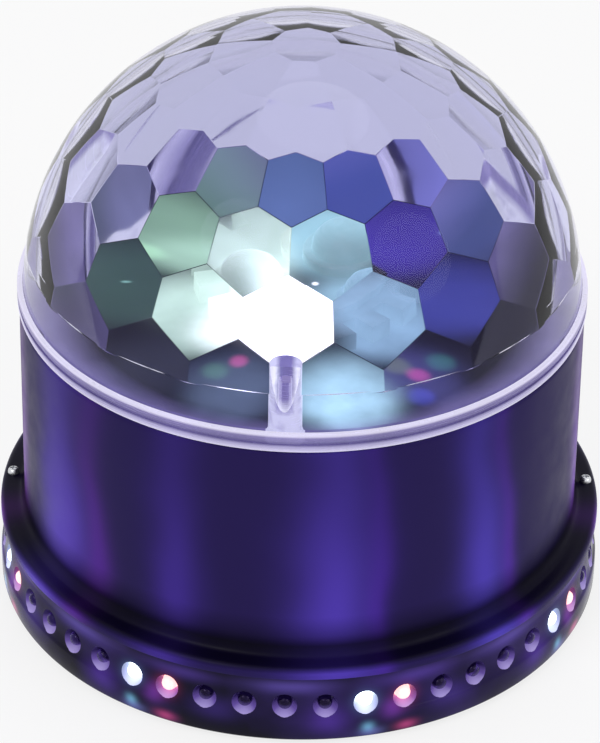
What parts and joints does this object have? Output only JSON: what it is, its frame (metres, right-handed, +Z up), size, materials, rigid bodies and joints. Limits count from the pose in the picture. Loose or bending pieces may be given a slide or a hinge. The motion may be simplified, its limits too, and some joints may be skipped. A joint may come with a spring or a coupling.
{
  "type": "led effect light",
  "caption": "Free-standing LED effect light: a clear faceted dome turns on a round black housing over a lamp head, and the wide foot carries an outward-facing ring of small lamps.",
  "frame": {"origin": "on the dome's axis, on the surface that the rubber feet stand on", "axes": "+Z up along the dome's axis; -Y is the front, which faces the camera; +X is to the viewer's right; +Y is the rear with the controls"},
  "size_m": [0.205, 0.205, 0.2051],
  "materials": {
    "housing_black": "satin moulded ABS",
    "ring_black": "glossy moulded ABS",
    "inner_black": "matt moulded ABS",
    "rubber_black": "matt rubber",
    "clear_dome": "clear polished polycarbonate, faceted inside",
    "lamp_clear": "water-clear epoxy on a white circuit strip",
    "nylon_white": "natural nylon",
    "screw_steel": "zinc-plated steel",
    "chassis_steel": "zinc-plated sheet steel",
    "sink_aluminium": "plain turned and extruded aluminium",
    "sleeve_bronze": "plain bearing bronze",
    "board_green": "green solder resist",
    "board_white": "white solder resist",
    "core_iron": "laminated iron core with a taped coil",
    "wire_black": "PVC sheath",
    "control_black": "fine matt ABS",
    "pot_metal": "pressed metal case",
    "emitter_white": "clear silicone lens over a high-power chip",
    "emitter_red": "clear silicone lens over a high-power chip",
    "emitter_amber": "clear silicone lens over a high-power chip",
    "emitter_green": "clear silicone lens over a high-power chip",
    "emitter_violet": "clear silicone lens over a high-power chip",
    "emitter_blue": "clear silicone lens over a high-power chip"
  },
  "bodies": {
    "base": {"foot_1": "rubber_black", "foot_2": "rubber_black", "foot_3": "rubber_black", "foot_4": "rubber_black", "base_plate": "inner_black", "lamp_ring": "ring_black", "lamp_strip_1": "lamp_clear", "lamp_strip_2": "lamp_clear", "lamp_strip_3": "lamp_clear", "lamp_strip_4": "lamp_clear", "lamp_strip_5": "lamp_clear", "lamp_strip_6": "lamp_clear", "lamp_strip_7": "lamp_clear", "lamp_strip_8": "lamp_clear", "housing": "housing_black", "base_screw_1": "screw_steel", "base_screw_2": "screw_steel", "base_screw_3": "screw_steel", "base_screw_4": "screw_steel", "chassis_screw_1": "screw_steel", "chassis_screw_2": "screw_steel", "chassis_screw_3": "screw_steel", "flange_screw_left": "screw_steel", "flange_screw_right": "screw_steel", "chassis_plate": "chassis_steel", "centre_post": "sink_aluminium", "thrust_washer": "nylon_white", "bearing_sleeve": "sleeve_bronze", "motor": "chassis_steel", "motor_screw_1": "screw_steel", "motor_screw_2": "screw_steel", "heat_sink": "sink_aluminium", "lamp_board": "board_white", "emitter_white": "emitter_white", "emitter_red": "emitter_red", "emitter_amber": "emitter_amber", "emitter_green": "emitter_green", "emitter_violet": "emitter_violet", "emitter_blue": "emitter_blue", "power_board": "board_green", "control_board": "board_green", "transformer": "core_iron", "lamp_lead": "wire_black", "motor_lead": "wire_black", "cord_gland": "inner_black", "gland_nut": "inner_black", "switch_body": "control_black", "potentiometer": "pot_metal", "microphone": "pot_metal"},
    "dome_turn": {"dome": "clear_dome", "turntable": "inner_black", "dome_screw_1": "screw_steel", "dome_screw_2": "screw_steel", "dome_screw_3": "screw_steel"},
    "motor_pinion": {"pinion": "nylon_white", "motor_shaft": "screw_steel"},
    "switch_rocker": {"rocker": "control_black"},
    "sensitivity_knob": {"knob": "control_black", "knob_shaft": "screw_steel"}
  },
  "joints": [
    {"name": "dome_spin", "type": "hinge", "parent": "base", "child": "dome_turn", "pos_m": [0, 0, 0.11], "axis": [0, 0, 1], "continuous": true},
    {"name": "pinion_spin", "type": "hinge", "parent": "base", "child": "motor_pinion", "pos_m": [0.01875, 0.03248, 0.0948], "axis": [0, 0, 1], "continuous": true},
    {"name": "rocker_tip", "type": "hinge", "parent": "base", "child": "switch_rocker", "pos_m": [-0.014, 0.0965, 0.066], "axis": [0, 0, 1], "range_deg": [-16, 0]},
    {"name": "knob_turn", "type": "hinge", "parent": "base", "child": "sensitivity_knob", "pos_m": [0.014, 0.095, 0.066], "axis": [0, 1, 0], "range_deg": [-140, 140]}
  ],
  "couplings": [
    {"joint": "pinion_spin", "follows": "dome_spin", "ratio": -4}
  ]
}
